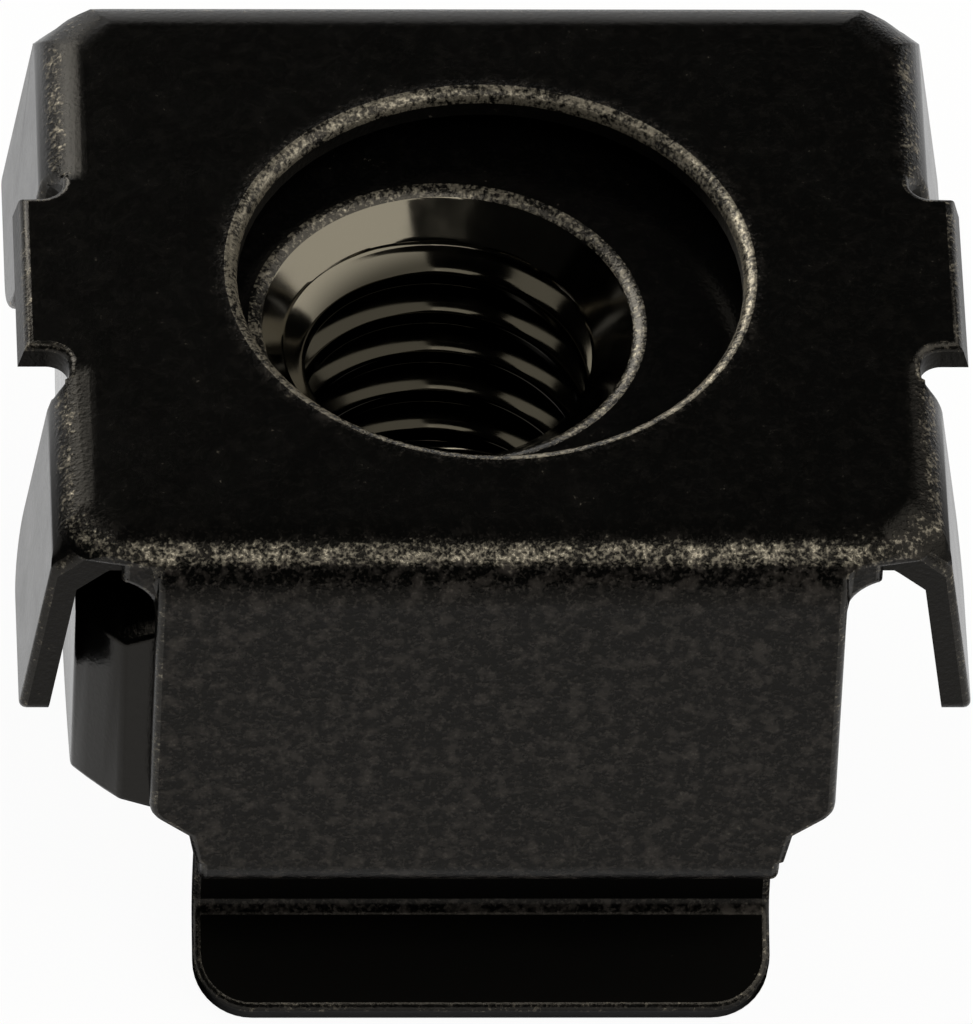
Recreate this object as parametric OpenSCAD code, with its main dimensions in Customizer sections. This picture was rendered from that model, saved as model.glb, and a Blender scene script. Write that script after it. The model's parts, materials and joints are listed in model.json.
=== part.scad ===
// Rack cage nut: a square nut held loose in a cage folded from one spring steel sheet.
// The top plate is uppermost. The nut's screw axis runs along Z at the middle of its travel, the wings
// that grip the square rack hole lie towards -Y and +Y, and the side flanges towards -X and +X.
// The cage stands on the ends of its two lips at z = 0.

/* [Sheet] */
// Thickness of the spring steel sheet
sheet_t = 0.42; // [0.36:0.02:0.5]
// Outer radius of the folds between the top plate and the wings
wing_bend_r = 0.9; // [0.7:0.05:1.1]
// Outer radius of the folds between the top plate and the side flanges
flange_bend_r = 0.7; // [0.6:0.05:0.9]
// How far a sheared edge leans out across the sheet, at the ends of the tabs
shear_lean = 0.11; // [0:0.01:0.15]

/* [Nut] */
// Width of the square nut across its flats
nut_w = 10.84; // [10.4:0.02:11.2]
// Thickness of the nut
nut_h = 5.28; // [4.6:0.02:5.8]
// Diameter that the nut's corners are turned to
nut_corner_d = 14.4; // [13.8:0.1:14.8]
// Diameter of the flat face inside the chamfer on each end
nut_face_d = 10.7; // [9.8:0.1:10.8]
// Slope of the chamfers on both ends of the nut
nut_chamfer_angle = 30; // [20:1:35]
// Outside diameter of the screw thread
thread_d = 4.83; // [4:0.01:6]
// Pitch of the screw thread
thread_pitch = 0.794; // [0.7:0.001:1]
// How much wider than the thread the countersink is at each end
countersink_extra = 0.65; // [0.3:0.05:1]

/* [Play of the nut] */
// Travel of the nut each way from the middle, towards a side flange
side_play = 0.58; // [0.3:0.02:0.7]
// Gap between the nut and a side flange at the end of the travel
stop_clearance = 0.04; // [0.02:0.01:0.1]
// Gap between the nut and each wing
wing_clearance = 0.06; // [0.03:0.01:0.15]
// Gap between the nut and the ledges that it rests on
seat_clearance = 0.03; // [0.02:0.01:0.1]
// Gap between the nut and the top plate
top_play = 0.63; // [0.3:0.01:0.9]

/* [Top plate] */
// Diameter of the hole in the top plate
plate_hole_d = 7.25; // [6.5:0.05:7.8]
// Distance between the ends of the two flat tabs
tab_span = 13.36; // [13.2:0.02:13.8]
// Width of each flat tab
tab_w = 3.05; // [2.4:0.05:3.6]
// Width of the relief notches beside each tab
notch_w = 0.66; // [0.5:0.02:0.8]
// Distance between the bottoms of opposite relief notches
notch_span = 12.14; // [11.9:0.02:12.3]

/* [Side flanges] */
// Depth of the side flanges below the top of the plate
flange_depth = 3.52; // [3:0.02:4]
// Lean of the side flanges away from upright
flange_lean = 8; // [5:0.5:11]
// Radius of each flange's lower corner next to the wing
flange_end_r = 0.2; // [0.1:0.05:0.6]
// Radius of each flange's lower corner next to the tab
flange_tab_r = 1; // [0.4:0.05:1.2]
// Setback of the flange ends from the outer face of the wings
flange_setback = 0.5; // [0.44:0.02:0.7]
// Setback of the plate's corners from the outer face of the wings, where they meet the wings
corner_setback = 0.2; // [0.16:0.02:0.36]
// Distance from the middle of the plate to where its corners start to dip
crown_reach = 7.22; // [6.9:0.02:7.4]
// Radius of the dip at the plate's corners
crown_r = 1.2; // [1:0.05:1.4]
// Steepest slope of the dip at the plate's corners
crown_slope = 50; // [40:1:55]

/* [Relief slots] */
// Depth of the top of the slots beside the wings below the top of the plate
slot_top = 0.72; // [0.66:0.02:0.9]

/* [Wings] */
// Width of each wing beside the nut
wing_w = 9.8; // [9.2:0.1:10]
// Height of the full wing width above the ledge's underside
shoulder_h = 1.66; // [1.4:0.02:1.9]
// Width of the wing below its shoulders
shoulder_w = 8.64; // [8.4:0.02:8.9]
// Height of the sloping shoulders
shoulder_drop = 0.46; // [0.3:0.02:0.6]
// Radius of the corners at the top of the shoulders
shoulder_r = 0.4; // [0.2:0.05:0.6]
// Width of the wing at the ledge
ledge_w = 8.34; // [8.1:0.02:8.5]
// Outer radius of the fold from the wing to the ledge
ledge_bend_r = 0.65; // [0.55:0.05:0.8]

/* [Necks and lips] */
// Distance across the outer faces of the two necks, which pass the square rack hole
neck_span = 9; // [8.8:0.02:9.2]
// Width of each neck and its lip
neck_w = 8.3; // [8.1:0.02:8.5]
// Radius of the inside corner between ledge and neck
neck_bend_r = 0.25; // [0.15:0.05:0.3]
// Height of the groove for the rack panel, from the ledge's underside to the lip's bend
groove_h = 1.41; // [1.2:0.01:2.2]
// Radius of the inside corner between neck and lip
lip_bend_r = 0.3; // [0.2:0.05:0.4]
// Lean of the lips away from upright
lip_lean = 62; // [50:1:70]
// Length of the flat part of each lip
lip_l = 1.38; // [1.1:0.02:1.6]
// Radius of the corners of each lip
lip_corner_r = 0.85; // [0.5:0.05:1]

/* [Hidden] */
$fn = 96;

// A derived size, rounded to the micrometre
function fine(v) = round(v * 1000) / 1000;

// A length that reaches past the whole cage
past = 20;
// Overlap of a cutter past the face that it cuts
cut = 0.5;
// How much a leaning straight run lies inside the bend that it leaves, for a clean joint
hair = 0.001;
// How far the bend's turn goes on inside the straight run, in degrees
lap_angle = 10;
// Straight pieces in the round corner of a shoulder
shoulder_steps = 6;
// How far a lip's straight run goes on inside the bend that it leaves
lip_lap = 0.02;

// Thread
thread_minor_d = fine(thread_d - thread_pitch);
countersink_d = thread_d + countersink_extra;

// Nut: height of the chamfer at the turned corners and at the middle of a flat
nut_corner_chamfer_h = (nut_corner_d - nut_face_d) / 2 * tan(nut_chamfer_angle);
nut_side_chamfer_h = (nut_w - nut_face_d) / 2 * tan(nut_chamfer_angle);

// Depths below the top of the plate
nut_top = sheet_t + top_play;
nut_bottom = nut_top + nut_h;
ledge_top = nut_bottom + seat_clearance;
ledge_bottom = ledge_top + sheet_t;
ledge_bend_top = ledge_bottom - ledge_bend_r;
lip_bend_top = ledge_bottom + groove_h;
lip_root = lip_bend_top + lip_bend_r * sin(lip_lean);
overall_h = fine(lip_root + lip_l * cos(lip_lean) + sheet_t * sin(lip_lean));

// Wings: outer faces of wing and neck, and where the lip's flat part starts
wing_y = nut_w / 2 + wing_clearance + sheet_t;
neck_y = neck_span / 2;
lip_root_y = neck_y + lip_bend_r * (1 - cos(lip_lean));

// Flanges: their inner faces stop the nut at the top of its flats
flange_inner_x = fine(nut_w / 2 + side_play + stop_clearance
                      - (nut_top + nut_side_chamfer_h) * tan(flange_lean));
flange_outer_x = fine(flange_inner_x + sheet_t / cos(flange_lean));
flange_y = wing_y - flange_setback;
notch_y = (tab_w + notch_w) / 2;
flange_start_y = notch_y + notch_w / 2;
notch_x = notch_span / 2 + notch_w / 2;

// Slots: they run from the wing's edge to the flange's inner face
slot_outer_x = flange_inner_x + slot_top * tan(flange_lean);
slot_w = fine(slot_outer_x - wing_w / 2);

// The four quarters of the cage
module each_quarter() {
    for (mx = [0, 1], my = [0, 1]) mirror([mx, 0, 0]) mirror([0, my, 0]) children();
}

// Sector of a disc about the origin, from angle a to angle b, half a turn or less
module sector(r, a, b) {
    reach = 2 * r;
    middle = (a + b) / 2;
    intersection() {
        circle(r);
        polygon([[0, 0], reach * [cos(a), sin(a)], reach * [cos(middle), sin(middle)],
                 reach * [cos(b), sin(b)]]);
    }
}

// Bend in the sheet about the origin, from angle a to angle b
module bend(inner_r, a, b) {
    difference() {
        sector(inner_r + sheet_t, a, b);
        circle(inner_r);
    }
}

// Outline that is the same on both sides of x = 0, from the points on +x, lowest first
module both_sides(points) {
    polygon([each points, for (i = [len(points) - 1:-1:0]) [-points[i][0], points[i][1]]]);
}

// Section of a hood: flat top at y = 0, sides at half width x0 that lean out, bend radius r
module hood_section(x0, lean, r, depth) {
    bend_x = fine(x0 - r * (1 - sin(lean)) / cos(lean));
    inside = lean > 0 ? hair : 0;
    lap = lean > 0 ? lap_angle : 0;
    both_sides([[x0 - inside / cos(lean) + depth * tan(lean), -depth],
                [bend_x, -r] + (r - inside) * [cos(lean), sin(lean)], [bend_x, -r], [bend_x, 0]]);
    translate([bend_x, -r]) sector(r, lean - lap, 90);
    translate([-bend_x, -r]) sector(r, 90, 180 - lean + lap);
}

// Turned body whose rim dips, for the corners of the plate
module crown(inset) {
    r = crown_r - inset;
    centre = [crown_reach, -inset - r];
    rim = centre + (r - hair) * [sin(crown_slope), cos(crown_slope)];
    rotate_extrude() {
        polygon([[0, -2 * past], [past, -2 * past],
                 [past, rim[1] - (past - rim[0]) * tan(crown_slope)], rim, centre,
                 [crown_reach, -inset], [0, -inset]]);
        translate(centre) sector(r, 90 - crown_slope - lap_angle, 90);
    }
}

// Solid of the hood, set in from the outer faces by inset
module hood(inset, depth) {
    flange_x = flange_outer_x - inset / cos(flange_lean) + inset * tan(flange_lean);
    intersection() {
        rotate([90, 0, 0]) linear_extrude(past, center = true) translate([0, -inset])
            hood_section(flange_x, flange_lean, flange_bend_r - inset, depth - inset);
        rotate([90, 0, 90]) linear_extrude(past, center = true) translate([0, -inset])
            hood_section(wing_y - inset, 0, wing_bend_r - inset, depth - inset);
        crown(inset);
    }
}

// Tongue from y = 0 to y = length, between x0 and x1, with its end corners rounded by r0 and r1
module tongue(x0, x1, length, r0, r1) {
    polygon([[x0, 0], [x1, 0], [x1, length - r1], [x1 - r1, length - r1], [x1 - r1, length],
             [x0 + r0, length], [x0 + r0, length - r0], [x0, length - r0]]);
    translate([x1 - r1, length - r1]) sector(r1, 0, 90);
    translate([x0 + r0, length - r0]) sector(r0, 90, 180);
}

// What is cut from the sides of the hood: all but the flanges below the plate, and the plate's
// bent edge where the flat tab takes its place
module side_trim() {
    reach = wing_w / 2 + cut;
    each_quarter() {
        translate([reach, 0, 0]) rotate([90, 0, 90]) linear_extrude(past) difference() {
            translate([0, -past]) square([past, past - sheet_t]);
            mirror([0, 1])
                tongue(flange_start_y, flange_y, flange_depth, flange_tab_r, flange_end_r);
        }
        translate([reach, 0, -past]) cube([past, notch_y, 2 * past]);
    }
}

// Slot of width w along x, with its round top at y = 0
module slot(w) {
    both_sides([[w / 2, -past], [w / 2, -w / 2]]);
    translate([0, -w / 2]) sector(w / 2, 0, 180);
}

// What is cut from the corners: the ends of flanges and plate, and the slot beside the wing
module corner_trim() {
    wing_x = wing_w / 2;
    each_quarter() {
        translate([0, 0, -past]) linear_extrude(2 * past)
            polygon([[wing_x, wing_y - corner_setback], [flange_outer_x, flange_y],
                     [past, flange_y], [past, past], [wing_x, past]]);
        rotate([90, 0, 0]) translate([0, 0, -past]) linear_extrude(past - wing_y + wing_bend_r)
            translate([wing_x + slot_w / 2, -slot_top]) slot(slot_w);
    }
}

// Flat tab between the flanges of one side, on +X
module tab() {
    root_x = wing_w / 2;
    end_x = tab_span / 2;
    intersection() {
        rotate([90, 0, 0]) linear_extrude(past, center = true)
            polygon([[root_x, -sheet_t], [end_x + shear_lean, -sheet_t], [end_x, 0], [root_x, 0]]);
        translate([0, 0, -past / 2]) linear_extrude(past)
            polygon([[0, -notch_y], [notch_x, -notch_y], [notch_x, -tab_w / 2], [past, -tab_w / 2],
                     [past, tab_w / 2], [notch_x, tab_w / 2], [notch_x, notch_y], [0, notch_y]]);
    }
}

// Relief notches beside the tabs
module notches() {
    each_quarter() translate([notch_span / 2, notch_y, -past / 2]) linear_extrude(past)
        rotate(90) slot(notch_w);
}

// Section of a wing below its upright part: ledge bend, ledge, neck bend, neck, lip bend and lip,
// with x outwards from the middle of the cage and y as height
module wing_foot_section() {
    neck_bend_x = neck_y + neck_bend_r;
    ledge_bend_x = wing_y - ledge_bend_r;
    translate([ledge_bend_x, -ledge_bend_top]) bend(ledge_bend_r - sheet_t, -90, 0);
    translate([neck_bend_x, -ledge_bottom]) square([ledge_bend_x - neck_bend_x, sheet_t]);
    translate([neck_bend_x, -ledge_bottom - neck_bend_r]) bend(neck_bend_r, 90, 180);
    translate([neck_y - sheet_t, -lip_bend_top]) square([sheet_t, groove_h - neck_bend_r]);
    translate([neck_y + lip_bend_r, -lip_bend_top]) {
        bend(lip_bend_r, 180, 180 + lip_lean);
        rotate(lip_lean) translate([-lip_bend_r - sheet_t + hair, -lip_l - cut])
            square([sheet_t - 2 * hair, lip_l + cut + lip_lap]);
    }
}

// Outline of a wing and its neck seen from the front, with y as height
module wing_outline() {
    shoulder_top = -ledge_bottom + shoulder_h;
    slope = atan2(shoulder_drop, (wing_w - shoulder_w) / 2);
    turn = 90 - slope;
    centre = [wing_w / 2 - shoulder_r, shoulder_top + shoulder_r * tan(turn / 2)];
    both_sides([[neck_w / 2, -past], [neck_w / 2, -ledge_bottom - neck_bend_r],
                [ledge_w / 2, -ledge_bottom], [ledge_w / 2, -ledge_top],
                [shoulder_w / 2, shoulder_top - shoulder_drop],
                for (i = [0:shoulder_steps])
                    centre + shoulder_r * [cos(turn * (1 - i / shoulder_steps)),
                                           -sin(turn * (1 - i / shoulder_steps))],
                [wing_w / 2, cut]]);
}

// Ledge, neck and lip of the wing on +Y
module wing_foot() {
    intersection() {
        rotate([90, 0, 90]) linear_extrude(wing_w, center = true) wing_foot_section();
        rotate([90, 0, 0]) translate([0, 0, -past]) linear_extrude(past) wing_outline();
        translate([0, lip_root_y, -lip_root]) rotate([lip_lean - 90, 0, 0])
            linear_extrude(2 * past, center = true) translate([0, -past])
                tongue(-neck_w / 2, neck_w / 2, past + lip_l, lip_corner_r, lip_corner_r);
    }
}

// The hood: top plate, upright wings and side flanges
module hood_shell() {
    intersection() {
        difference() {
            hood(0, ledge_bend_top);
            hood(sheet_t, past);
            side_trim();
            corner_trim();
        }
        rotate([90, 0, 0]) linear_extrude(past, center = true) {
            wing_outline();
            translate([-past, -flange_depth - cut]) square([2 * past, past]);
        }
    }
}

// Cage, folded from one sheet
module cage() {
    color("#1c1b1a") translate([0, 0, overall_h]) difference() {
        union() {
            hood_shell();
            for (side = [0, 1]) mirror([side, 0, 0]) tab();
            for (side = [0, 1]) mirror([0, side, 0]) wing_foot();
        }
        notches();
        translate([0, 0, -sheet_t - cut]) cylinder(h = sheet_t + 2 * cut, d = plate_hole_d);
    }
}

// Square nut with turned corners, lying against the stop on its -X side
module nut() {
    r = nut_corner_d / 2;
    face_r = nut_face_d / 2;
    dip = nut_corner_chamfer_h;
    sink_h = (countersink_d - thread_minor_d) / 2;
    color("#161616") translate([-side_play, 0, overall_h - nut_bottom]) difference() {
        intersection() {
            translate([-nut_w / 2, -nut_w / 2, 0]) cube([nut_w, nut_w, nut_h]);
            rotate_extrude()
                polygon([[0, 0], [face_r, 0], [r, dip], [r, nut_h - dip], [face_r, nut_h], [0, nut_h]]);
        }
        translate([0, 0, -cut]) cylinder(h = nut_h + 2 * cut, d = thread_minor_d);
        for (end = [0, 1]) translate([0, 0, end * nut_h]) mirror([0, 0, end])
            cylinder(h = sink_h, d1 = countersink_d, d2 = thread_minor_d);
    }
}

cage();
nut();
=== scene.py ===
"""Rack cage nut: a cage folded from black spring steel, with a square nut loose inside it"""

import json
import math

import bmesh
import bpy
from bpy.props import FloatProperty, FloatVectorProperty, IntProperty, PointerProperty
from mathutils import Matrix, Vector
from mathutils.bvhtree import BVHTree


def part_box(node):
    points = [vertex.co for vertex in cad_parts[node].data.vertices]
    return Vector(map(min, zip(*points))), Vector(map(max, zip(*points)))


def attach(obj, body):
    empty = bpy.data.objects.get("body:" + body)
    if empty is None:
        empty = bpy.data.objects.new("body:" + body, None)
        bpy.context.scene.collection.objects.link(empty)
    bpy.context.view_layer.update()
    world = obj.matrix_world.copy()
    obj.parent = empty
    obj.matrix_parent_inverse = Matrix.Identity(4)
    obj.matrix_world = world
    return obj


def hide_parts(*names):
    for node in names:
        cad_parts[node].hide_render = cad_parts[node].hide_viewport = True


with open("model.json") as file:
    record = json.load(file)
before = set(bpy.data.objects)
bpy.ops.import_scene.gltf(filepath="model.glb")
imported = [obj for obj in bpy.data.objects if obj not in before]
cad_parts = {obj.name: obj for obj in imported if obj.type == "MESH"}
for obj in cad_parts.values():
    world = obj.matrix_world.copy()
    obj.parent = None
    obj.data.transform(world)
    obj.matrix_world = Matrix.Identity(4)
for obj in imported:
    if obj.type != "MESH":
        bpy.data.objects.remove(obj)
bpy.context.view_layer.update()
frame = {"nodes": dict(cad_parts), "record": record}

bl_info = {
    "name": "Rack Cage Nut",
    "version": (1, 0, 0),
    "blender": (4, 5, 0),
    "location": "View3D > Sidebar > Cage Nut",
    "description": "Builds the folded cage, the threaded square nut and a small studio round them",
    "category": "Add Mesh",
}

MM = 0.001

# A distance that counts as none, and one that rounding stays under
TINY = 0.001 * MM
SLACK = 0.01 * MM
# Corners of the solids' triangles that lie closer than this are one
WELD = 0.006 * MM

# Radius of the bends round the top plate, as the wear on them is laid out
BEND_R = 0.85 * MM
# Heights above the floor, from and to: the ledges' underside, and the turn from neck to lip
LEDGE = (2.5 * MM, 2.8 * MM)
LIP_TURN_LOW = (0.9 * MM, 1.05 * MM)
LIP_TURN_HIGH = (1.45 * MM, 1.6 * MM)

# Kinds of the sheet's faces
INNER, OUTER, CUT = range(3)
# Material slots of the cage and of the nut
SATIN, WORN_EDGE, CUT_EDGE, GROOVE_SHADE, HOLE_RIM = range(5)
GLOSS, WORN_RIM, STEEL = range(3)

# Patterns in the finishes, in features per metre
GRIT, BLOTCH, PATCH, POLISH = 16000, 4200, 1300, 2600

# How softly the thread's roots, its crests and the countersinks' lower edges are rounded
ROOT_ROUND, CREST_ROUND, SINK_ROUND = 0.08 * MM, 0.12 * MM, 0.1 * MM
# Faces round the rim of each countersink, and across each rounded edge of the nut
RIM_STEPS, EDGE_STEPS = 5, 3

# What reflections see of the studio's floor and wall, where 1 is white. The wall glows as painted
# light and falls into painted shade over the heights of WALL_TOP, but not behind
FLOOR_LEVEL, WALL_LEVEL, WALL_TOP = 0.9, 2, (0.34, 0.36)
# The wall's share of its level by turn: 0 and 1 are behind, 0.25 left, 0.5 in front, 0.75 right
WALL_SHARES = (
    (0, 0.8), (0.03, 0.8), (0.06, 0.05), (0.17, 0.05), (0.2, 0.4), (0.27, 0.4), (0.33, 0.02),
    (0.67, 0.02), (0.7, 0.4), (0.76, 0.4), (0.8, 0.03), (0.96, 0.03), (0.98, 0.8), (1, 0.8))
# What light from all round the room adds
ROOM_LEVEL = 0.012
# Lights: name, azimuth and elevation, width and height, and brightness beside the panel level
LIGHT_DISTANCE = 0.1
LIGHT_COLOUR = (1, 0.97, 0.9)
LIGHTS = (
    ("panel", 2, 59, 0.036, 0.034, 2),
    ("right_box", 80, 46, 0.15, 0.11, 1),
    ("left_fill", -82, 62, 0.035, 0.03, 1.2),
    ("left_back", -145, 31, 0.06, 0.058, 3))
# How far right of the view's middle, and above it, the plate's middle lies, in view heights
AIM = (0.0041, 0.2354)
# What the camera sees, nearest and farthest
CLIP = (0.01, 5)

# Places that come from the frame
cage_low, cage_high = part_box("cage")
nut_low, nut_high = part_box("nut")
thread_mount = next(m for m in frame["record"]["mounts"] if m["name"] == "thread")
axis_x, axis_y = thread_mount["pos_m"][0], thread_mount["pos_m"][1]
minor_d = 2 * thread_mount["dims"]["r_mm"] * MM
nut_h = nut_high.z - nut_low.z
sink_h = (nut_h - thread_mount["dims"]["length_mm"] * MM) / 2
hole_mount = next(m for m in frame["record"]["mounts"] if m["name"] == "screw_tip_hole")
hole_r = hole_mount["dims"]["r_mm"] * MM


# Sizes and colours

class CageSizes(bpy.types.PropertyGroup):
    """Sizes of the cage's sheet that the solids leave square"""

    roll: FloatProperty(
        name="Edge roll", description="How far the punched edges are rolled over on the outside",
        default=0.11 * MM, min=0.02 * MM, max=0.18 * MM, unit="LENGTH")
    hole_roll: FloatProperty(
        name="Hole roll", description="How far the rim of the hole is rolled over",
        default=0.19 * MM, min=0.02 * MM, max=0.25 * MM, unit="LENGTH")
    steps: IntProperty(
        name="Roll steps", description="Faces across each rolled edge", default=4, min=1, max=8)
    ramp: FloatProperty(
        name="Ramp", description="Length over which the flat beside a tab runs into the bend",
        default=0.2 * MM, min=0.05 * MM, max=0.3 * MM, unit="LENGTH")


class NutSizes(bpy.types.PropertyGroup):
    """Sizes of the nut's thread and edges"""

    thread_d: FloatProperty(
        name="Thread diameter", description="Diameter of the thread at its roots",
        default=4.83 * MM, min=4.1 * MM, max=5.4 * MM, unit="LENGTH")
    pitch: FloatProperty(
        name="Thread pitch", description="Distance between the thread's turns",
        default=0.794 * MM, min=0.5 * MM, max=1 * MM, unit="LENGTH")
    columns: IntProperty(
        name="Columns", description="Faces round the thread", default=144, min=48, max=240)
    rows: IntProperty(
        name="Rows", description="Faces across one turn of the thread", default=32, min=16, max=36)
    lead_round: FloatProperty(
        name="Lead-in rounding", description="Radius of the rim of the countersinks",
        default=0.28 * MM, min=0.05 * MM, max=0.5 * MM, unit="LENGTH")
    round_r: FloatProperty(
        name="Edge rounding", description="Rounding of the nut's outer edges",
        default=0.07 * MM, min=0, max=0.15 * MM, unit="LENGTH")


class Finish(bpy.types.PropertyGroup):
    """Colours of the plating, of its wear, and of painted shade and painted highlights"""

    cage_colour: FloatVectorProperty(
        name="Cage plating", description="Satin black plating of the cage",
        default=(0.0016, 0.0016, 0.0015), size=3, min=0, max=1, subtype="COLOR")
    nut_colour: FloatVectorProperty(
        name="Nut plating", description="Gloss black plating of the nut",
        default=(0.0012, 0.0012, 0.0012), size=3, min=0, max=1, subtype="COLOR")
    worn_colour: FloatVectorProperty(
        name="Worn steel", description="Steel that shows where the plating is worn",
        default=(0.32, 0.29, 0.23), size=3, min=0, max=1, subtype="COLOR")
    sink_colour: FloatVectorProperty(
        name="Countersink", description="Thinly blackened steel at the ends of the nut's hole",
        default=(0.125, 0.115, 0.092), size=3, min=0, max=1, subtype="COLOR")
    # The thread's colour is darker than the countersinks' as painted shade deep in the hole
    thread_shade_colour: FloatVectorProperty(
        name="Thread", description="Oily blackened steel of the thread",
        default=(0.024, 0.022, 0.017), size=3, min=0, max=1, subtype="COLOR")
    # The dulled plating's colour also paints the highlight where the necks turn into the lips
    dust_and_highlight_colour: FloatVectorProperty(
        name="Dulled plating", description="Plating that is dusty or rubbed",
        default=(0.045, 0.04, 0.036), size=3, min=0, max=1, subtype="COLOR")
    sheen_colour: FloatVectorProperty(
        name="Sheen", description="Tint of what the plating mirrors",
        default=(1.0, 0.93, 0.82), size=3, min=0, max=1, subtype="COLOR")


class StudioSettings(bpy.types.PropertyGroup):
    """Camera and light"""

    azimuth: FloatProperty(
        name="Azimuth", description="Camera's turn about the upright axis, from the front",
        default=math.radians(-4.0), subtype="ANGLE")
    elevation: FloatProperty(
        name="Elevation", description="Camera's height above the horizon",
        default=math.radians(45.0), subtype="ANGLE")
    roll: FloatProperty(
        name="Roll", description="Camera's turn about its own view axis",
        default=math.radians(2.85), subtype="ANGLE")
    distance: FloatProperty(
        name="Distance", description="From the camera to the middle of the top plate",
        default=0.45, unit="LENGTH")
    view_h: FloatProperty(
        name="View height", description="Height of what the camera frames at the top plate",
        default=14.6286 * MM, unit="LENGTH")
    panel_level: FloatProperty(
        name="Light level", description="Brightness that the lights are set by, where 1 is white",
        default=2.0, min=0, max=20)


# Node trees

class Value:
    """A socket that takes part in Python expressions; an expression adds its Math nodes"""

    def __init__(self, tree, socket):
        self.tree, self.socket = tree, socket

    def math(self, operation, *others):
        values = {i: v for i, v in enumerate((self, *others))}
        return self.tree.node("ShaderNodeMath", {"operation": operation}, values)

    def __add__(self, other): return self.math("ADD", other)
    def __radd__(self, other): return self.math("ADD", other)
    def __sub__(self, other): return self.math("SUBTRACT", other)
    def __rsub__(self, other): return self.tree.lift(other).math("SUBTRACT", self)
    def __mul__(self, other): return self.math("MULTIPLY", other)
    def __rmul__(self, other): return self.math("MULTIPLY", other)
    def __truediv__(self, other): return self.math("DIVIDE", other)
    def __rtruediv__(self, other): return self.tree.lift(other).math("DIVIDE", self)
    def __abs__(self): return self.math("ABSOLUTE")
    def low(self, other): return self.math("MINIMUM", other)
    def high(self, other): return self.math("MAXIMUM", other)

    def step(self, start, end):
        """0 below start, 1 above end, and smooth between them"""
        return self.tree.node(
            "ShaderNodeMapRange", {"interpolation_type": "SMOOTHSTEP"},
            {"Value": self, "From Min": start, "From Max": end})


class Tree:
    """A node tree under construction"""

    def __init__(self, nodes):
        self.nodes = nodes
        nodes.nodes.clear()

    def node(self, kind, settings=None, values=None, out=0):
        """Adds a node, sets its settings and then its sockets, and returns one of its outputs"""
        made = self.nodes.nodes.new(kind)
        for key, value in (settings or {}).items():
            if key == "stops":
                ramp = made.color_ramp
                while len(ramp.elements) < len(value):
                    ramp.elements.new(1)
                for element, (place, colour) in zip(ramp.elements, value):
                    element.position, element.color = place, colour
            else:
                setattr(made, key, value)
        for key, value in (values or {}).items():
            socket = made.inputs[key]
            if isinstance(value, Value):
                self.nodes.links.new(value.socket, socket)
            else:
                socket.default_value = value
        return Value(self, made.outputs[out]) if len(made.outputs) else made

    def lift(self, number):
        """A plain number as a Value"""
        value = self.node("ShaderNodeValue")
        value.socket.default_value = number
        return value


def material(name):
    """A new material and its tree"""
    made = bpy.data.materials.new(name)
    made.use_nodes = True
    return made, Tree(made.node_tree)


def surface(tree, shader):
    """Ends a material's tree in its shader"""
    tree.node("ShaderNodeOutputMaterial", None, {"Surface": shader})


def noise(tree, place, scale, detail, roughness=0.5):
    """Noise from 0 to 1 with features about 1/scale metres across"""
    return tree.node("ShaderNodeTexNoise", None, {
        "Vector": place, "Scale": scale, "Detail": detail, "Roughness": roughness})


def plating(name, colour, finish, roughness, specular, wear, dust_and_highlight_level, grain):
    """Black plating with a fine grit, dulled by dusty patches, lighter where a highlight is
    painted, and worn through to bare steel

    wear, dust_and_highlight_level and grain are levels from 0 up: numbers, or functions of
    the place on the piece."""
    made, tree = material(name)
    place = tree.node("ShaderNodeTexCoord", None, None, out=3)
    apart = tree.node("ShaderNodeSeparateXYZ", None, {0: place}).socket.node
    wear, dust_and_highlight_level, grain = (level(*(Value(tree, o) for o in apart.outputs)) if callable(level)
                         else level for level in (wear, dust_and_highlight_level, grain))
    grit = noise(tree, place, GRIT, 3, 0.6)
    blotch = noise(tree, place, BLOTCH, 3, 0.6)
    patch = noise(tree, place, PATCH, 4, 0.65)
    uneven = (grit - 0.5) * 2 + (blotch - 0.5) * 1.1 + (patch - 0.5) * 0.7
    bare = (uneven + wear - 0.75).step(-0.25, 0.6)
    # Dusty patches lighten the black, and on the cage the same colour paints a highlight in the
    # grooves
    dull_and_highlight = (grit.step(0.5, 0.72) * 0.9 + blotch.step(0.46, 0.7) * 0.8) * dust_and_highlight_level
    black = tree.node("ShaderNodeMix", {"data_type": "RGBA"}, {
        "Factor": dull_and_highlight, 6: (*colour, 1), 7: (*finish.dust_and_highlight_colour, 1)}, out=2)
    colours = tree.node("ShaderNodeMix", {"data_type": "RGBA"}, {
        "Factor": bare, 6: black, 7: (*finish.worn_colour, 1)}, out=2)
    rough = roughness + (patch - 0.5) * 0.12 + bare * 0.1
    bump = tree.node("ShaderNodeBump", None, {
        "Strength": 1.0, "Distance": 0.02 * MM, "Height": grit * grain})
    surface(tree, tree.node("ShaderNodeBsdfPrincipled", None, {
        "Base Color": colours, "Roughness": rough, "Normal": bump, "Metallic": bare,
        "Specular IOR Level": specular, "Specular Tint": (*finish.sheen_colour, 1)}))
    return made


def thread_steel(finish):
    """Thinly blackened steel of the countersinks and the thread, smooth from the tap. Deeper in
    the hole it darkens as painted shade
    """
    made, tree = material("thread_steel")
    place = tree.node("ShaderNodeTexCoord", None, None, out=3)
    z = Value(tree, tree.node("ShaderNodeSeparateXYZ", None, {0: place}).socket.node.outputs[2])
    # Painted shade: the colour darkens from the countersinks into the thread
    shade_depth = (nut_high.z - z).low(z - nut_low.z).step(0.9 * sink_h, 1.3 * sink_h)
    colour = tree.node("ShaderNodeMix", {"data_type": "RGBA"}, {
        "Factor": shade_depth, 6: (*finish.sink_colour, 1), 7: (*finish.thread_shade_colour, 1)}, out=2)
    rough = noise(tree, place, POLISH, 3) * 0.12 + 0.04
    surface(tree, tree.node("ShaderNodeBsdfPrincipled", None, {
        "Base Color": colour, "Metallic": 1.0, "Roughness": rough}))
    return made


# Pieces

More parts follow.
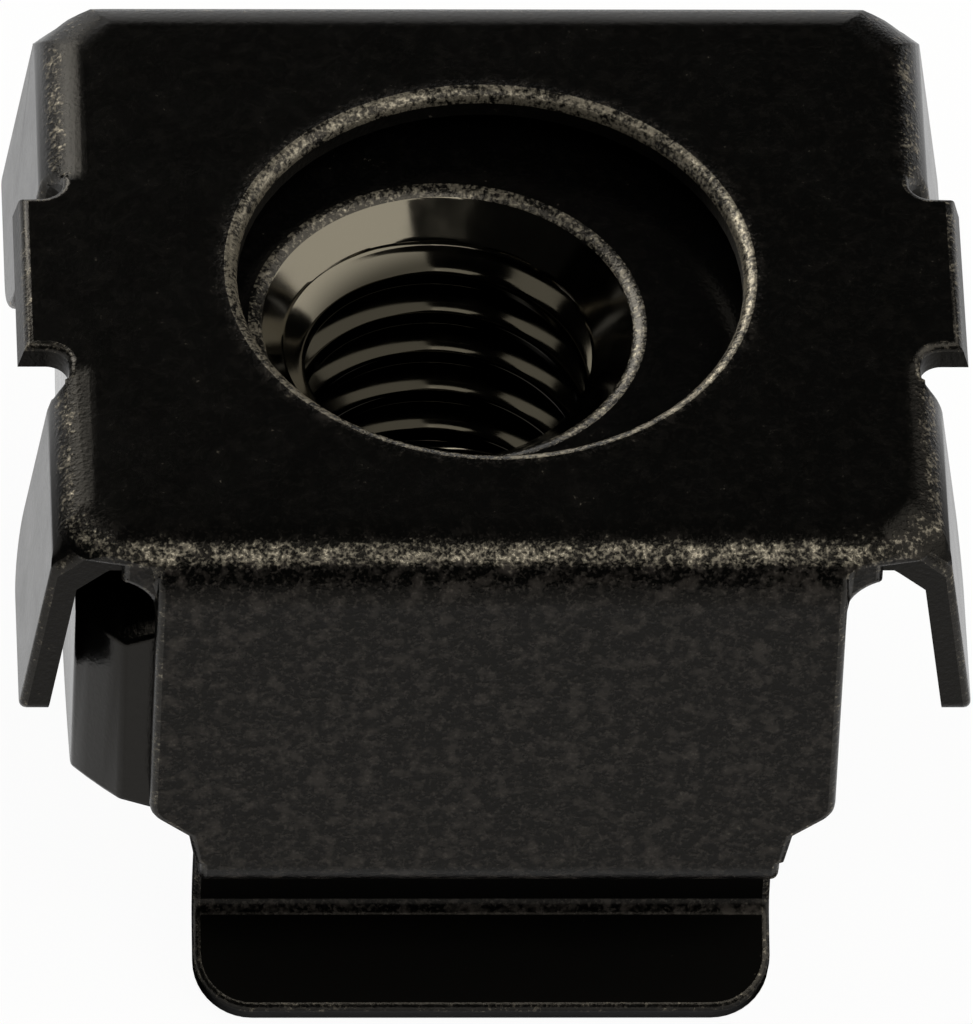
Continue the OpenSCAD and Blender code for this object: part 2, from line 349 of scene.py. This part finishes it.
def merged_copy(node):
    """The CAD node's mesh as a bmesh, with its loose triangles joined and its flat faces whole"""
    mesh = bmesh.new()
    mesh.from_mesh(frame["nodes"][node].data)
    bmesh.ops.remove_doubles(mesh, verts=mesh.verts, dist=WELD)
    bmesh.ops.dissolve_degenerate(mesh, edges=mesh.edges, dist=WELD)
    bmesh.ops.dissolve_limit(
        mesh, angle_limit=math.radians(0.3), verts=mesh.verts, edges=mesh.edges,
        use_dissolve_boundaries=False)
    return mesh


def make_object(name, mesh, materials):
    """An object at the origin from a finished bmesh or mesh"""
    if isinstance(mesh, bmesh.types.BMesh):
        data = bpy.data.meshes.new(name)
        mesh.to_mesh(data)
        mesh.free()
    else:
        data = mesh
    for one in materials:
        data.materials.append(one)
    made = bpy.data.objects.new(name, data)
    bpy.context.scene.collection.objects.link(made)
    return made


def plain_mesh(piece):
    """The piece's mesh with its modifiers worked in"""
    graph = bpy.context.evaluated_depsgraph_get()
    graph.update()
    return bpy.data.meshes.new_from_object(
        piece.evaluated_get(graph), preserve_all_data_layers=True, depsgraph=graph)


def flood(starts, limit):
    """The faces that are reached from starts over edges less sharp than limit"""
    found, front = set(starts), list(starts)
    while front:
        for edge in front.pop().edges:
            if edge.calc_face_angle(math.pi) < limit:
                for face in edge.link_faces:
                    if face not in found:
                        found.add(face)
                        front.append(face)
    return found


def sort_faces(mesh):
    """Marks the sheet's faces as OUTER, CUT or INNER

    Returns the layer of marks, and the steps between the flats by the tabs and the bends."""
    kind = mesh.faces.layers.int.new("kind")
    flat = [f for f in mesh.faces if f.calc_center_median().z > cage_high.z - 0.005 * MM]
    outside = flood([max(flat, key=lambda f: f.calc_area())], math.radians(50))
    steps = {f for f in mesh.faces if f not in outside and abs(f.normal.y) > 0.99
             and f.calc_center_median().z > cage_high.z - 0.15 * MM}
    for face in outside | steps:
        face[kind] = OUTER
    beside = {g for f in outside for e in f.edges for g in e.link_faces if g[kind] == INNER}
    for face in flood(beside, math.radians(40)):
        face[kind] = CUT
    return kind, steps


def run_out_steps(mesh, kind, steps, ramp):
    """Turns the steps between the tabs and the bends of the flanges into ramps"""
    start = max(abs(v.co.y) for f in steps for v in f.verts)
    bend_x = min(abs(v.co.x) for f in steps for v in f.verts)
    for side in (-1, 1):
        # Dicts, because sets would give the plane its edges in another order each run
        skin = [f for f in mesh.faces if f[kind] == OUTER]
        edges = dict.fromkeys(e for f in skin for e in f.edges)
        verts = dict.fromkeys(v for f in skin for v in f.verts)
        bmesh.ops.bisect_plane(
            mesh, geom=[*skin, *edges, *verts], dist=TINY,
            plane_co=(0, side * (start + ramp), 0), plane_no=(0, 1, 0))
    for v in mesh.verts:
        along = (abs(v.co.y) - start) / ramp
        on_bend = abs(v.co.x) > 0.999 * bend_x and v.co.z > cage_high.z - 0.25 * MM
        if on_bend and -0.02 < along < 1:
            along = max(along, 0)
            v.co.z += (cage_high.z - v.co.z) * (1 - along * along * (3 - 2 * along))
    bmesh.ops.dissolve_degenerate(mesh, edges=mesh.edges, dist=TINY)
    mesh.normal_update()


def keep_inside(mesh, skin):
    """Brings what the rolled edges leave outside the sheet's own surface back onto it"""
    for v in mesh.verts:
        place, normal, _, away = skin.find_nearest(v.co)
        if away > 2 * TINY and (v.co - place).dot(normal) > 0:
            v.co = place


def shade(mesh, limit):
    """Smooth shading that breaks at edges sharper than limit"""
    for face in mesh.faces:
        face.smooth = True
    for edge in mesh.edges:
        edge.smooth = edge.calc_face_angle(0) < limit


def weigh_normals(piece):
    """Lets large faces shade flat and the narrow ones beside them carry the curve"""
    weigh = piece.modifiers.new("weighted_normals", "WEIGHTED_NORMAL")
    weigh.mode, weigh.weight, weigh.keep_sharp = "FACE_AREA", 80, True
    mesh = plain_mesh(piece)
    piece.modifiers.clear()
    piece.data = mesh


def on_wings(y, z):
    """1 on the upright wings, which are handled, and 0 on the plate and the lips"""
    out = abs(y).step(cage_high.y - 0.5 * MM, cage_high.y - 0.1 * MM)
    return out * z.step(cage_low.z + LEDGE[0], cage_low.z + LEDGE[1])


def on_crests(x, y, z):
    """1 along the crests of the bends round the plate, and 0 on the flats"""
    high = (z - (cage_high.z - BEND_R)).step(0.52 * BEND_R, 0.74 * BEND_R)
    return (cage_high.z - z).step(0, 0.16 * BEND_R) * high


def by_hole(x, y):
    """1 at the rim of the hole, fading out over the plate"""
    return 1 - (x * x + y * y).math("SQRT").step(0.98 * hole_r, 1.12 * hole_r)


def groove_highlight(z):
    """1 where the neck turns out into the lip, where a highlight is painted"""
    over = z.step(*(cage_low.z + h for h in LIP_TURN_LOW))
    return over * (1 - z.step(*(cage_low.z + h for h in LIP_TURN_HIGH)))


def cage_wear(x, y, z):
    """How far the plating is worn: along the bends, most at the front, and round the hole"""
    front = 1 - abs(x).step(0.68 * cage_high.x, 0.8 * cage_high.x)
    back = y.step(0.74 * cage_high.y, 0.88 * cage_high.y)
    crests = on_crests(x, y, z) * (1 - back * 0.5)
    return crests * (front * 0.16 + 0.57) + by_hole(x, y) * 0.58


def cage_dust_and_highlight(x, y, z):
    """How dull the plating is, with a painted highlight where the necks turn out into the lips"""
    return (on_wings(y, z) * 0.7 + on_crests(x, y, z) * 0.4 + by_hole(x, y) * 0.5
            + groove_highlight(z) * 1.2 + 0.05)


def cage_grain(x, y, z):
    """How rough the plating is to the touch"""
    return on_crests(x, y, z).high(on_wings(y, z) * 0.5).high(by_hole(x, y)) * 0.8 + 0.15


def lines_groove(face):
    """Whether a face is the outside of a neck or the upper side of a lip, which take painted shade
    """
    centre, normal = face.calc_center_median(), face.normal
    outside = centre.z < cage_low.z + 2.6 * MM and centre.y * normal.y > 0
    return outside and abs(normal.x) < 0.2 and (normal.z > 0.8 or abs(normal.z) < 0.2)


class CAGENUT_OT_cage(bpy.types.Operator):
    """Build the folded cage with rolled edges"""

    bl_idname = "cagenut.cage"
    bl_label = "Cage"

    def execute(self, context):
        sizes, finish = context.scene.cage_sizes, context.scene.cage_finish
        coats = [plating(name, finish.cage_colour, finish, *looks) for name, *looks in (
            # roughness, specular, wear, dust_and_highlight_level, grain
            ("satin_plating", 0.2, 0.12, cage_wear, cage_dust_and_highlight, cage_grain),
            ("worn_edge", 0.25, 0.3, 0.42, 0.3, 0.5),
            ("cut_edge", 0.35, 0.15, 0.05, 0.05, 0.5),
            # A dull, hardly reflecting copy of the plating: painted shade on the necks and lips
            # under the ledges
            ("groove_plating", 0.45, 0.02, 0, 0, 0.1),
            ("worn_hole_rim", 0.25, 0.3, 0.8, 0.3, 0.6))]
        sheet = merged_copy("cage")
        kind, steps = sort_faces(sheet)
        run_out_steps(sheet, kind, steps, sizes.ramp)
        skin = BVHTree.FromBMesh(sheet)
        for face in sheet.faces:
            face.material_index = CUT_EDGE if face[kind] == CUT else SATIN
            # Necks and the lips' upper sides take the painted shade
            if lines_groove(face):
                face.material_index = GROOVE_SHADE
        rim = [e for e in sheet.edges if sorted(f[kind] for f in e.link_faces) == [OUTER, CUT]]
        hole = [e for e in rim if max(v.co.xy.length for v in e.verts) < 1.01 * hole_r]
        outline = [e for e in rim if e not in hole]
        for edges, roll, slot in (
                (hole, sizes.hole_roll, HOLE_RIM), (outline, sizes.roll, WORN_EDGE)):
            bmesh.ops.bevel(
                sheet, geom=edges, offset=roll, offset_type="OFFSET", segments=sizes.steps,
                profile=0.5, affect="EDGES", clamp_overlap=False, material=slot)
        keep_inside(sheet, skin)
        shade(sheet, math.radians(40))
        cage = make_object("cage_sheet", sheet, coats)
        weigh_normals(cage)
        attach(cage, "cage")
        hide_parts("cage")
        return {"FINISHED"}


def rim_offset(sizes):
    """How far the rounding of a countersink's rim reaches along its cone and its end face"""
    return sizes.lead_round * math.tan(math.radians(22.5))


def thread_tree(sizes, coat):
    """Geometry Nodes tree that turns a grid into the countersunk thread of the nut"""
    group = bpy.data.node_groups.new("nut_thread", "GeometryNodeTree")
    inputs = {}
    for name, kind, value in (
            ("Thread Diameter", "NodeSocketFloat", sizes.thread_d),
            ("Minor Diameter", "NodeSocketFloat", minor_d),
            ("Pitch", "NodeSocketFloat", sizes.pitch),
            ("Height", "NodeSocketFloat", nut_h),
            ("Sink Height", "NodeSocketFloat", sink_h),
            ("Rim Height", "NodeSocketFloat", rim_offset(sizes) / math.sqrt(2)),
            ("Columns", "NodeSocketInt", sizes.columns),
            ("Rows", "NodeSocketInt", sizes.rows),
            ("Turns", "NodeSocketInt", math.ceil(nut_h / sizes.pitch) + 1)):
        socket = group.interface.new_socket(name, in_out="INPUT", socket_type=kind)
        inputs[socket.identifier] = value
    socket = group.interface.new_socket(
        "Material", in_out="INPUT", socket_type="NodeSocketMaterial")
    inputs[socket.identifier] = coat
    group.interface.new_socket("Geometry", in_out="OUTPUT", socket_type="NodeSocketGeometry")
    tree = Tree(group)
    entry = group.nodes.new("NodeGroupInput")
    given = {s.name: Value(tree, s) for s in entry.outputs if s.name}
    grid = tree.node("GeometryNodeMeshGrid", None, {
        "Size X": 1.0, "Size Y": 1.0, "Vertices X": given["Columns"] + 1,
        "Vertices Y": given["Rows"] * given["Turns"] + 1})
    place = tree.node("GeometryNodeInputPosition")
    apart = tree.node("ShaderNodeSeparateXYZ", None, {0: place}).socket.node
    turn = Value(tree, apart.outputs[0]) + 0.5
    # Each row of the grid follows the helix, so the thread's crests and roots run along rows.
    # The crests lie at whole turns and the roots halfway. The 0.001 keeps rounding from splitting
    # the row of a crest between two turns
    row = (Value(tree, apart.outputs[1]) + 0.5) * given["Turns"]
    height = (row + turn - 1) * given["Pitch"]
    height = height.high(given["Rim Height"]).low(given["Height"] - given["Rim Height"])
    away = abs((row + 0.001).math("FRACT") - 0.501) * given["Pitch"]
    major, minor = given["Thread Diameter"] / 2, given["Minor Diameter"] / 2
    # Flanks at 60 degrees to each other, on both sides of a root that is an eighth of the pitch
    thread_r = major - (away - given["Pitch"] / 16) * math.sqrt(3)
    thread_r = thread_r.math("SMOOTH_MIN", major, ROOT_ROUND)
    thread_r = thread_r.math("SMOOTH_MAX", minor, CREST_ROUND)
    end = height.low(given["Height"] - height)
    radius = thread_r.math("SMOOTH_MAX", minor + given["Sink Height"] - end, SINK_ROUND)
    angle = turn * math.tau
    point = tree.node("ShaderNodeCombineXYZ", None, {
        0: angle.math("COSINE") * radius + axis_x, 1: angle.math("SINE") * radius + axis_y,
        2: height + nut_low.z})
    placed = tree.node("GeometryNodeSetPosition", None, {"Geometry": grid, "Position": point})
    joined = tree.node("GeometryNodeMergeByDistance", None, {
        "Geometry": placed, "Distance": TINY / 2})
    real = tree.node("GeometryNodeRealizeInstances", None, {"Geometry": joined})
    coated = tree.node("GeometryNodeSetMaterial", None, {
        "Geometry": real, "Material": given["Material"]})
    tree.node("NodeGroupOutput", None, {0: coated})
    return group, inputs


def thread_mesh(sizes, coat):
    """The nut's threaded hole as a plain mesh, open at both ends"""
    carrier = make_object("thread_carrier", bpy.data.meshes.new("thread_carrier"), [])
    modifier = carrier.modifiers.new("thread", "NODES")
    group, inputs = thread_tree(sizes, coat)
    modifier.node_group = group
    for identifier, value in inputs.items():
        modifier[identifier] = value
    mesh = plain_mesh(carrier)
    carrier.modifiers.clear()
    bpy.data.objects.remove(carrier)
    return mesh


def turned_loop(mesh, centre, z, radii):
    """The open rim's vertices at height z and between two radii, sorted round the centre"""
    rim = {v for e in mesh.edges if e.is_boundary for v in e.verts
           if abs(v.co.z - z) < TINY and radii[0] < (v.co - centre).xy.length < radii[1]}
    return sorted(rim, key=lambda v: math.atan2(v.co.y - centre.y, v.co.x - centre.x))


def round_rim(mesh, centre, rim_r, z, side, sizes):
    """Rounds the rim between a countersink and the end face at height z, and returns its loop"""
    reach = rim_offset(sizes)
    low = z - side * reach / math.sqrt(2)
    loop = turned_loop(mesh, centre, low, (0, rim_r + SLACK))
    for step in range(1, RIM_STEPS + 1):
        tilt = math.radians(45) * (1 - step / RIM_STEPS)
        radius = rim_r + reach - sizes.lead_round * math.sin(tilt)
        height = z - side * sizes.lead_round * (1 - math.cos(tilt))
        rise = height - loop[0].co.z
        grow = radius / (loop[0].co - centre).xy.length
        above = [mesh.verts.new((centre.x + (v.co.x - centre.x) * grow,
                                 centre.y + (v.co.y - centre.y) * grow, v.co.z + rise))
                 for v in loop]
        for i in range(len(loop)):
            face = mesh.faces.new((loop[i - 1], loop[i], above[i], above[i - 1]))
            face.material_index = WORN_RIM
        loop = above
    return loop


def close_ring(mesh, centre, inner, outer):
    """Fills the flat ring between two loops that are sorted round the centre"""
    def turn(loop, i):
        """Angle of a loop's vertex, where i counts on from one round to the next"""
        v = loop[i % len(loop)]
        return math.atan2(v.co.y - centre.y, v.co.x - centre.x) + math.tau * (i // len(loop))

    i = j = 0
    while i < len(inner) or j < len(outer):
        a, b = inner[i % len(inner)], outer[j % len(outer)]
        if j == len(outer) or i < len(inner) and turn(inner, i + 1) < turn(outer, j + 1):
            i += 1
            mesh.faces.new((a, b, inner[i % len(inner)]))
        else:
            j += 1
            mesh.faces.new((a, b, outer[j % len(outer)]))


class CAGENUT_OT_nut(bpy.types.Operator):
    """Build the square nut with its screw thread"""

    bl_idname = "cagenut.nut"
    bl_label = "Nut"

    def execute(self, context):
        sizes, finish = context.scene.nut_sizes, context.scene.cage_finish
        coats = [plating(name, finish.nut_colour, finish, *looks) for name, *looks in (
            # roughness, specular, wear, dust_and_highlight_level, grain
            ("gloss_plating", 0.15, 0.22, 0, 0.03, 0.2),
            ("worn_rim", 0.2, 0.4, 0.6, 0.2, 0.5))]
        coats.append(thread_steel(finish))
        body = merged_copy("nut")
        centre = Vector((axis_x, axis_y, 0))
        rim_r = minor_d / 2 + sink_h

        def in_hole(face):
            """Whether a face lies within the rim of the nut's hole"""
            return all((v.co - centre).xy.length < rim_r + SLACK for v in face.verts)

        inner = [f for f in body.faces if in_hole(f)]
        bmesh.ops.delete(body, geom=inner, context="FACES")
        ends = [f for f in body.faces if abs(f.normal.z) > 0.999]
        bmesh.ops.delete(body, geom=ends, context="FACES")
        loose = [v for v in body.verts if not v.link_faces]
        bmesh.ops.delete(body, geom=loose, context="VERTS")
        body.from_mesh(thread_mesh(sizes, coats[STEEL]))
        for face in body.faces:
            face.material_index = STEEL if in_hole(face) else GLOSS
        for z, side in ((nut_low.z, -1), (nut_high.z, 1)):
            outer = turned_loop(body, centre, z, (rim_r, math.inf))
            close_ring(body, centre, round_rim(body, centre, rim_r, z, side, sizes), outer)
        bmesh.ops.recalc_face_normals(body, faces=body.faces)
        body.edges.ensure_lookup_table()
        sharp = [e for e in body.edges if len(e.link_faces) == 2
                 and e.calc_face_angle() > math.radians(25)
                 and all((v.co - centre).xy.length > rim_r + 0.25 * MM for v in e.verts)]
        bmesh.ops.bevel(
            body, geom=sharp, offset=sizes.round_r, offset_type="OFFSET", segments=EDGE_STEPS,
            profile=0.5, affect="EDGES", clamp_overlap=False)
        shade(body, math.radians(35))
        nut = make_object("square_nut", body, coats)
        weigh_normals(nut)
        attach(nut, "nut")
        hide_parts("nut")
        return {"FINISHED"}


# Studio

def backdrop_white():
    """Matt white that views see as plain white and that still takes shadows

    Reflections see a floor with a painted shadow under the cage, and a wall that glows as painted
    light to its top behind and low at both sides, and is painted shade elsewhere."""
    made, tree = material("backdrop_white")
    path = tree.node("ShaderNodeLightPath").socket.node
    camera, glossy, glass = (Value(tree, path.outputs[n]) for n in (
        "Is Camera Ray", "Is Glossy Ray", "Is Transmission Ray"))
    place = tree.node("ShaderNodeTexCoord", None, None, out=3)
    apart = tree.node("ShaderNodeSeparateXYZ", None, {0: place}).socket.node
    x, y, z = (Value(tree, o) for o in apart.outputs)
    turn = x.math("ARCTAN2", 0 - y) / math.tau + 0.5
    stops = [(at, (v, v, v, 1)) for at, v in WALL_SHARES]
    # The wall glows only for what reflections see: painted light, bright behind and low at the
    # sides
    wall = tree.node("ShaderNodeValToRGB", {"stops": stops}, {"Fac": turn})
    high = z.step(0, 0.01)
    low_wall = 1 - z.step(*WALL_TOP)
    behind = abs(turn - 0.5).step(0.465, 0.485)
    # Reflections see no floor under the cage: a painted shadow
    floor_outside_painted_shadow = abs(x).high(abs(y)).step(0.9 * cage_high.y, 1.2 * cage_high.y)
    lit = FLOOR_LEVEL * floor_outside_painted_shadow * (1 - high) + WALL_LEVEL * wall * high * low_wall.high(behind)
    # A twentieth of what views see is the matt white that takes shadows
    share = (camera * 0.95).high(glossy).high(glass)
    level = camera + lit * (1 - camera)
    plain = tree.node("ShaderNodeBsdfDiffuse", None, {"Color": (0.9, 0.9, 0.9, 1)})
    white = tree.node("ShaderNodeEmission", None, {"Color": (1, 1, 1, 1), "Strength": level})
    surface(tree, tree.node("ShaderNodeMixShader", None, {0: share, 1: plain, 2: white}))
    return made


def backdrop(radius, rise):
    """A round floor whose edge turns up into a wall"""
    bowl = bmesh.new()
    rim = bmesh.ops.create_circle(bowl, cap_ends=True, segments=96, radius=radius)["verts"]
    edges = list(dict.fromkeys(e for v in rim for e in v.link_edges))
    wall = [v for v in bmesh.ops.extrude_edge_only(bowl, edges=edges)["geom"]
            if isinstance(v, bmesh.types.BMVert)]
    bmesh.ops.scale(bowl, vec=(1.1, 1.1, 1), verts=wall)
    bmesh.ops.translate(bowl, vec=(0, 0, rise), verts=wall)
    bmesh.ops.translate(bowl, vec=(0, 0, cage_low.z), verts=bowl.verts)
    bmesh.ops.reverse_faces(bowl, faces=[f for f in bowl.faces if f.normal.z < 0])
    return bowl


def area_light(name, target, azimuth, elevation, width, height, level):
    """A rectangular light that faces target, as bright as level where 1 is white"""
    azimuth, elevation = math.radians(azimuth), math.radians(elevation)
    back = Vector((math.sin(azimuth) * math.cos(elevation),
                   -math.cos(azimuth) * math.cos(elevation), math.sin(elevation)))
    data = bpy.data.lights.new(name, "AREA")
    data.shape = "RECTANGLE"
    data.size, data.size_y = width, height
    data.energy = level * math.pi * width * height
    data.color = LIGHT_COLOUR
    light = bpy.data.objects.new(name, data)
    light.location = target + back * LIGHT_DISTANCE
    light.rotation_mode = "QUATERNION"
    light.rotation_quaternion = (-back).to_track_quat("-Z", "Y")
    bpy.context.scene.collection.objects.link(light)


def aim_camera(studio, target):
    """Makes the scene's camera, which looks past target as the studio settings say"""
    az, el, roll = studio.azimuth, studio.elevation, studio.roll
    forward = Vector((-math.sin(az) * math.cos(el), math.cos(az) * math.cos(el), -math.sin(el)))
    right = Vector((math.cos(az), math.sin(az), 0))
    up = right.cross(forward)
    right, up = (math.cos(roll) * right + math.sin(roll) * up,
                 math.cos(roll) * up - math.sin(roll) * right)
    aim_right, aim_up = (share * studio.view_h for share in AIM)
    data = bpy.data.cameras.new("camera")
    data.lens = data.sensor_width * studio.distance / studio.view_h
    data.clip_start, data.clip_end = CLIP
    camera = bpy.data.objects.new("camera", data)
    turn = Matrix((right, up, -forward)).transposed()
    place = target - forward * studio.distance - right * aim_right - up * aim_up
    camera.matrix_world = Matrix.Translation(place) @ turn.to_4x4()
    bpy.context.scene.collection.objects.link(camera)
    bpy.context.scene.camera = camera


class CAGENUT_OT_stage(bpy.types.Operator):
    """Set the floor, the lights and the camera"""

    bl_idname = "cagenut.stage"
    bl_label = "Studio"

    def execute(self, context):
        scene, studio = context.scene, context.scene.cage_studio
        plate_middle = Vector((0, 0, cage_high.z))
        # A floor 1.2 m in radius, whose edge turns up into a wall 0.8 m high
        make_object("backdrop", backdrop(1.2, 0.8), [backdrop_white()])

        world = bpy.data.worlds.new("room")
        scene.world = world
        world.use_nodes = True
        tree = Tree(world.node_tree)
        path = tree.node("ShaderNodeLightPath").socket.node
        seen = Value(tree, path.outputs["Is Camera Ray"])
        room = tree.node("ShaderNodeBackground", None, {
            "Color": (1, 1, 1, 1), "Strength": seen.high(ROOM_LEVEL)})
        tree.node("ShaderNodeOutputWorld", None, {"Surface": room})

        for name, azimuth, elevation, width, height, share in LIGHTS:
            area_light(name, plate_middle, azimuth, elevation, width, height,
                       share * studio.panel_level)
        aim_camera(studio, plate_middle)
        scene.view_settings.view_transform = "Standard"
        return {"FINISHED"}


class CAGENUT_PT_panel(bpy.types.Panel):
    """Buttons and sizes for the cage nut"""

    bl_label = "Cage Nut"
    bl_space_type = "VIEW_3D"
    bl_region_type = "UI"
    bl_category = "Cage Nut"

    def draw(self, context):
        layout, scene = self.layout, context.scene
        for group, operator in (
                (scene.cage_sizes, "cagenut.cage"), (scene.nut_sizes, "cagenut.nut"),
                (scene.cage_studio, "cagenut.stage"), (scene.cage_finish, None)):
            box = layout.box()
            for key in group.__annotations__:
                box.prop(group, key)
            if operator:
                box.operator(operator)


GROUPS = {"cage_sizes": CageSizes, "nut_sizes": NutSizes, "cage_finish": Finish,
          "cage_studio": StudioSettings}
CLASSES = (*GROUPS.values(), CAGENUT_OT_cage, CAGENUT_OT_nut, CAGENUT_OT_stage, CAGENUT_PT_panel)


def register():
    for one in CLASSES:
        bpy.utils.register_class(one)
    for name, group in GROUPS.items():
        setattr(bpy.types.Scene, name, PointerProperty(type=group))


def unregister():
    for name in GROUPS:
        delattr(bpy.types.Scene, name)
    for one in reversed(CLASSES):
        bpy.utils.unregister_class(one)


def main():
    register()
    bpy.ops.cagenut.cage()
    bpy.ops.cagenut.nut()
    bpy.ops.cagenut.stage()


if __name__ == "__main__":
    main()
